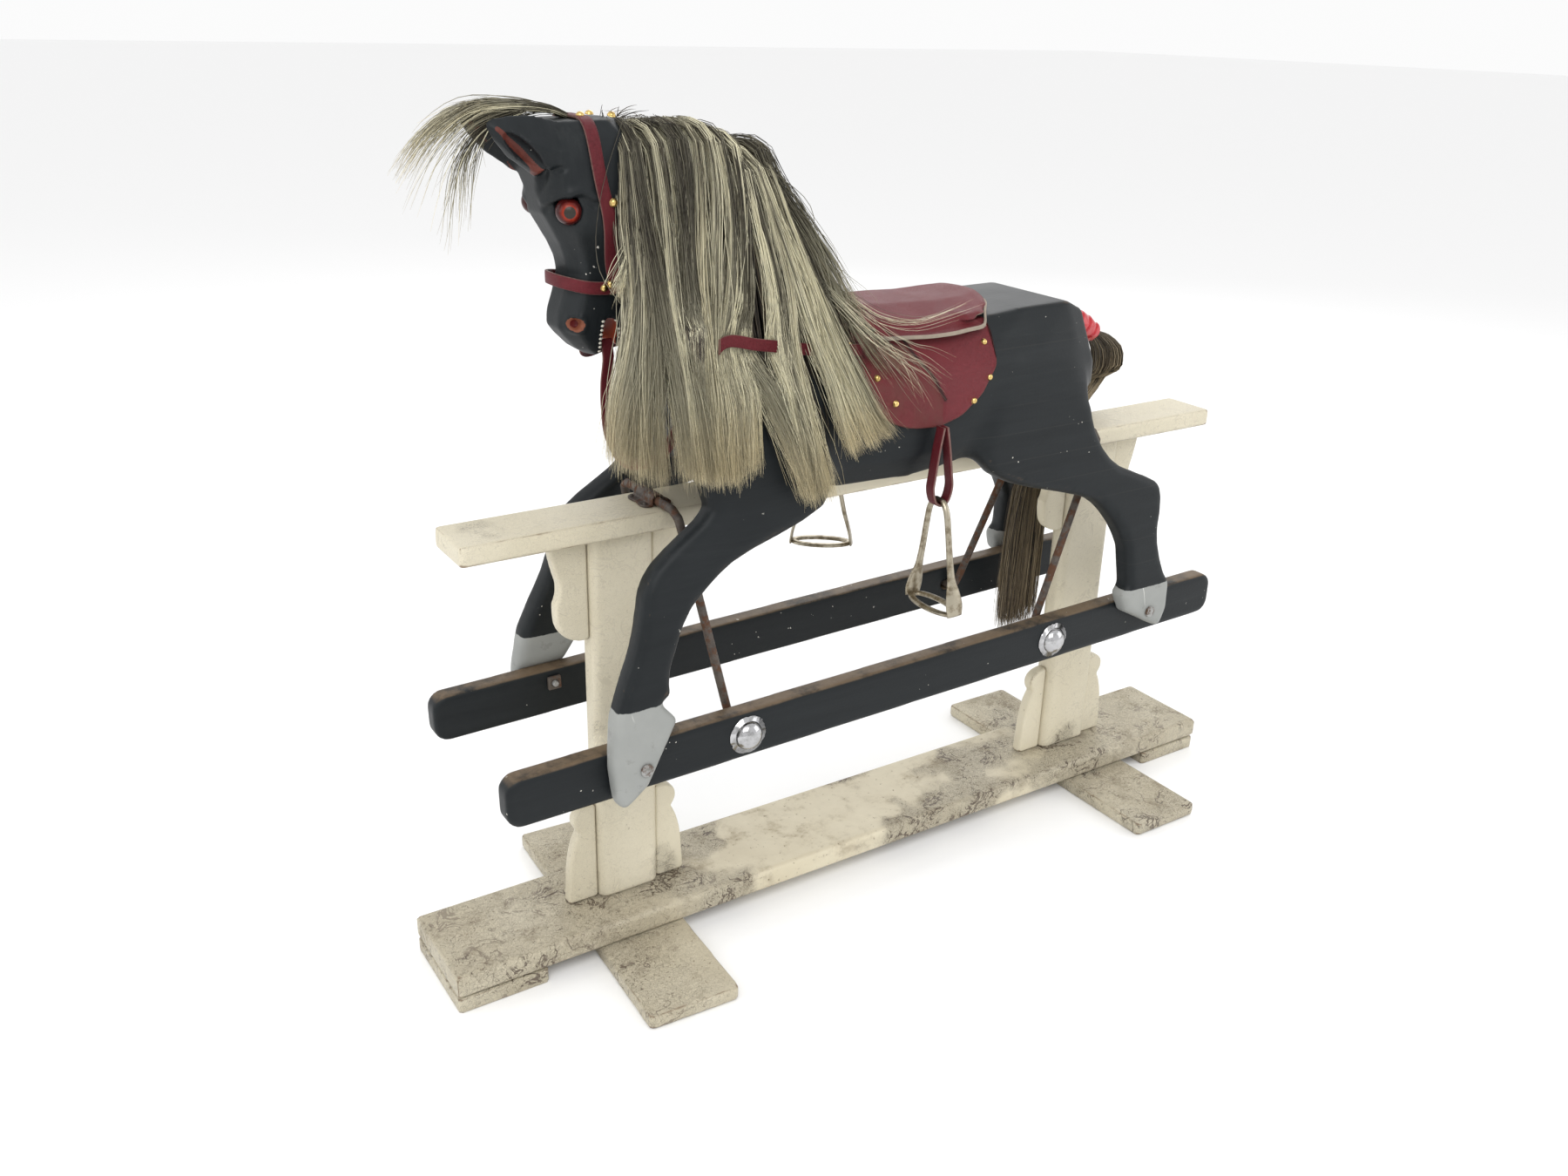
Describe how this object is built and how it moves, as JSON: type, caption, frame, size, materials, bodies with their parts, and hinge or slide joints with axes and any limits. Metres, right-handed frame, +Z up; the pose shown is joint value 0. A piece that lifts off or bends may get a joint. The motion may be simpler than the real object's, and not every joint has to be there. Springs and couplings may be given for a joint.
{
  "type": "rocking horse on safety stand",
  "caption": "Carved wooden rocking horse hung by two U-shaped swing irons from a painted post-and-rail stand, with saddle, stirrups, bridle and loose mane and tail.",
  "frame": {"origin": "on the floor, under the middle of the base plank and the box", "axes": "+X towards the tail, +Y to the horse's right, +Z up"},
  "size_m": [1.3, 0.4552, 1.0536],
  "materials": {
    "cream_paint": "old cream paint on pine, crackled, worn through and dirty at the edges",
    "charcoal_paint": "satin charcoal paint on laminated pine, worn brown at the edges",
    "rusty_iron": "dark, rusted and brushed",
    "chromed_cap": "bright, lightly pitted",
    "worn_nickel": "worn plating with brown tarnish",
    "amber_glass": "dark amber glass over a black pupil",
    "red_brown_leather": "red-brown, creased and rubbed",
    "saddle_leather": "red-brown, creased, over grey felt",
    "red_ribbon": "glossy red wrapping",
    "dark_hair": "dark brown hair with pale tips",
    "pale_hair": "long straw-coloured hair"
  },
  "bodies": {
    "stand": {"base_plank": "cream_paint", "front_cross_foot": "cream_paint", "rear_cross_foot": "cream_paint", "front_end_block": "cream_paint", "rear_end_block": "cream_paint", "front_post": "cream_paint", "rear_post": "cream_paint", "top_rail": "cream_paint", "front_post_outer_upper_bracket": "cream_paint", "front_post_outer_lower_bracket": "cream_paint", "front_post_inner_upper_bracket": "cream_paint", "front_post_inner_lower_bracket": "cream_paint", "rear_post_outer_upper_bracket": "cream_paint", "rear_post_outer_lower_bracket": "cream_paint", "rear_post_inner_upper_bracket": "cream_paint", "rear_post_inner_lower_bracket": "cream_paint", "front_iron_bearing": "rusty_iron", "rear_iron_bearing": "rusty_iron"},
    "front_iron": {"front_swing_iron": "rusty_iron"},
    "rear_iron": {"rear_swing_iron": "rusty_iron"},
    "horse": {"torso": "charcoal_paint", "neck": "charcoal_paint", "head": "charcoal_paint", "saddle_seat": "saddle_leather", "noseband": "red_brown_leather", "headpiece": "red_brown_leather", "mane": "pale_hair", "forelock": "pale_hair", "tail": "dark_hair", "tail_ribbon": "red_ribbon", "left_front_leg": "charcoal_paint", "left_hind_leg": "charcoal_paint", "left_runner": "charcoal_paint", "left_eye": "amber_glass", "left_saddle_flap": "red_brown_leather", "left_rein": "red_brown_leather", "left_front_dome_cap": "chromed_cap", "left_front_hoof_bolt": "rusty_iron", "left_front_square_nut": "rusty_iron", "left_rear_dome_cap": "chromed_cap", "left_rear_hoof_bolt": "rusty_iron", "left_rear_square_nut": "rusty_iron", "right_front_leg": "charcoal_paint", "right_hind_leg": "charcoal_paint", "right_runner": "charcoal_paint", "right_eye": "amber_glass", "right_saddle_flap": "red_brown_leather", "right_rein": "red_brown_leather", "right_front_dome_cap": "chromed_cap", "right_front_hoof_bolt": "rusty_iron", "right_front_square_nut": "rusty_iron", "right_rear_dome_cap": "chromed_cap", "right_rear_hoof_bolt": "rusty_iron", "right_rear_square_nut": "rusty_iron"},
    "left_stirrup_leather": {"left_stirrup_leather": "red_brown_leather"},
    "left_stirrup_iron": {"left_stirrup_iron": "worn_nickel"},
    "right_stirrup_leather": {"right_stirrup_leather": "red_brown_leather"},
    "right_stirrup_iron": {"right_stirrup_iron": "worn_nickel"}
  },
  "joints": [
    {"name": "front_iron_swing", "type": "hinge", "parent": "stand", "child": "front_iron", "pos_m": [-0.342, 0, 0.5959], "axis": [0, 1, 0], "range_deg": [-12, 12], "deforming": ["tail"]},
    {"name": "horse_pitch", "type": "hinge", "parent": "front_iron", "child": "horse", "pos_m": [-0.27795, 0, 0.31291], "axis": [0, 1, 0], "range_deg": [-16.3, 16.3]},
    {"name": "rear_iron_swing", "type": "hinge", "parent": "stand", "child": "rear_iron", "pos_m": [0.342, 0, 0.5959], "axis": [0, 1, 0], "range_deg": [-12.7, 12.7]},
    {"name": "left_stirrup_leather_swing", "type": "hinge", "parent": "horse", "child": "left_stirrup_leather", "pos_m": [0.00107, -0.1305, 0.66456], "axis": [0, 1, 0], "range_deg": [-30, 30]},
    {"name": "left_stirrup_iron_swing", "type": "hinge", "parent": "left_stirrup_leather", "child": "left_stirrup_iron", "pos_m": [0.00291, -0.1305, 0.57258], "axis": [0, 1, 0], "range_deg": [-20, 20]},
    {"name": "right_stirrup_leather_swing", "type": "hinge", "parent": "horse", "child": "right_stirrup_leather", "pos_m": [0.00107, 0.1305, 0.66456], "axis": [0, 1, 0], "range_deg": [-30, 30]},
    {"name": "right_stirrup_iron_swing", "type": "hinge", "parent": "right_stirrup_leather", "child": "right_stirrup_iron", "pos_m": [0.00291, 0.1305, 0.57258], "axis": [-0.7833, 0.6216, 0], "range_deg": [-20, 20]}
  ],
  "couplings": [
    {"joint": "horse_pitch", "follows": "front_iron_swing", "ratio": -1.3548},
    {"joint": "rear_iron_swing", "follows": "front_iron_swing", "ratio": 1.0505}
  ]
}
